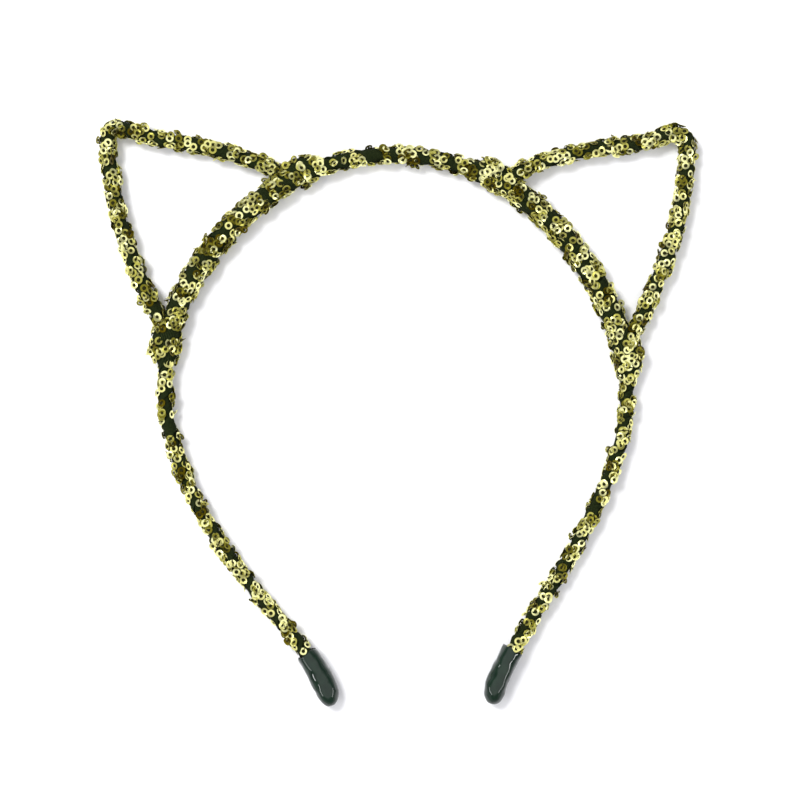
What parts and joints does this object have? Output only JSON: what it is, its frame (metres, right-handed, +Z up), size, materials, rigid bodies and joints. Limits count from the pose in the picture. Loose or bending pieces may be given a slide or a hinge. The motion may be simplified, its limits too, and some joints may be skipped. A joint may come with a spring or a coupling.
{
  "type": "cat ear headband",
  "caption": "Horseshoe-shaped spring wire headband with two open triangular wire ears, wound in black tape and gold ring sequins, with dipped rubber tips.",
  "frame": {"origin": "on the surface that the headband lies on, under the middle of its bounding box", "axes": "+X to the right ear, +Y from the tips of the band towards the ears, +Z up through the thickness"},
  "size_m": [0.1674, 0.1648, 0.0071],
  "materials": {
    "spring_wire": "drawn spring steel wire",
    "lashing_thread": "black waxed thread",
    "wound_cloth": "matt black knitted cloth with a green cast",
    "sequins": "pale gold ring sequins of metallised film on dark cloth ribbon",
    "dipped_rubber": "glossy dipped rubber, dark green-grey"
  },
  "bodies": {
    "crown": {"band_wire_crown": "spring_wire", "crown_tape": "wound_cloth", "crown_ribbon": "sequins", "left_outer_lashing": "lashing_thread", "left_inner_lashing": "lashing_thread", "right_inner_lashing": "lashing_thread", "right_outer_lashing": "lashing_thread", "left_ear_outer_foot": "spring_wire", "left_ear_inner_foot": "spring_wire", "right_ear_inner_foot": "spring_wire", "right_ear_outer_foot": "spring_wire"},
    "left_leg": {"band_wire_left_leg": "spring_wire", "left_leg_tape": "wound_cloth", "left_leg_ribbon": "sequins", "left_tip": "dipped_rubber"},
    "right_leg": {"band_wire_right_leg": "spring_wire", "right_leg_tape": "wound_cloth", "right_leg_ribbon": "sequins", "right_tip": "dipped_rubber"},
    "left_ear": {"left_ear_wire": "spring_wire", "left_ear_tape": "wound_cloth", "left_ear_ribbon": "sequins"},
    "right_ear": {"right_ear_wire": "spring_wire", "right_ear_tape": "wound_cloth", "right_ear_ribbon": "sequins"}
  },
  "joints": [
    {"name": "left_leg_flex", "type": "hinge", "parent": "crown", "child": "left_leg", "pos_m": [-0.06503, 0.00789, 0.00355], "axis": [0, 0, -1], "range_deg": [-6, 20], "stiffness_Nm_per_rad": 0.6},
    {"name": "right_leg_flex", "type": "hinge", "parent": "crown", "child": "right_leg", "pos_m": [0.06426, 0.00637, 0.00355], "axis": [0, 0, 1], "range_deg": [-6, 20], "stiffness_Nm_per_rad": 0.6},
    {"name": "left_ear_bend", "type": "hinge", "parent": "crown", "child": "left_ear", "pos_m": [-0.06759, 0.02806, 0.00355], "axis": [0.6155, 0.7882, 0], "range_deg": [0, 35]},
    {"name": "right_ear_bend", "type": "hinge", "parent": "crown", "child": "right_ear", "pos_m": [0.0353, 0.06806, 0.00355], "axis": [0.5869, -0.8097, 0], "range_deg": [0, 35]}
  ]
}
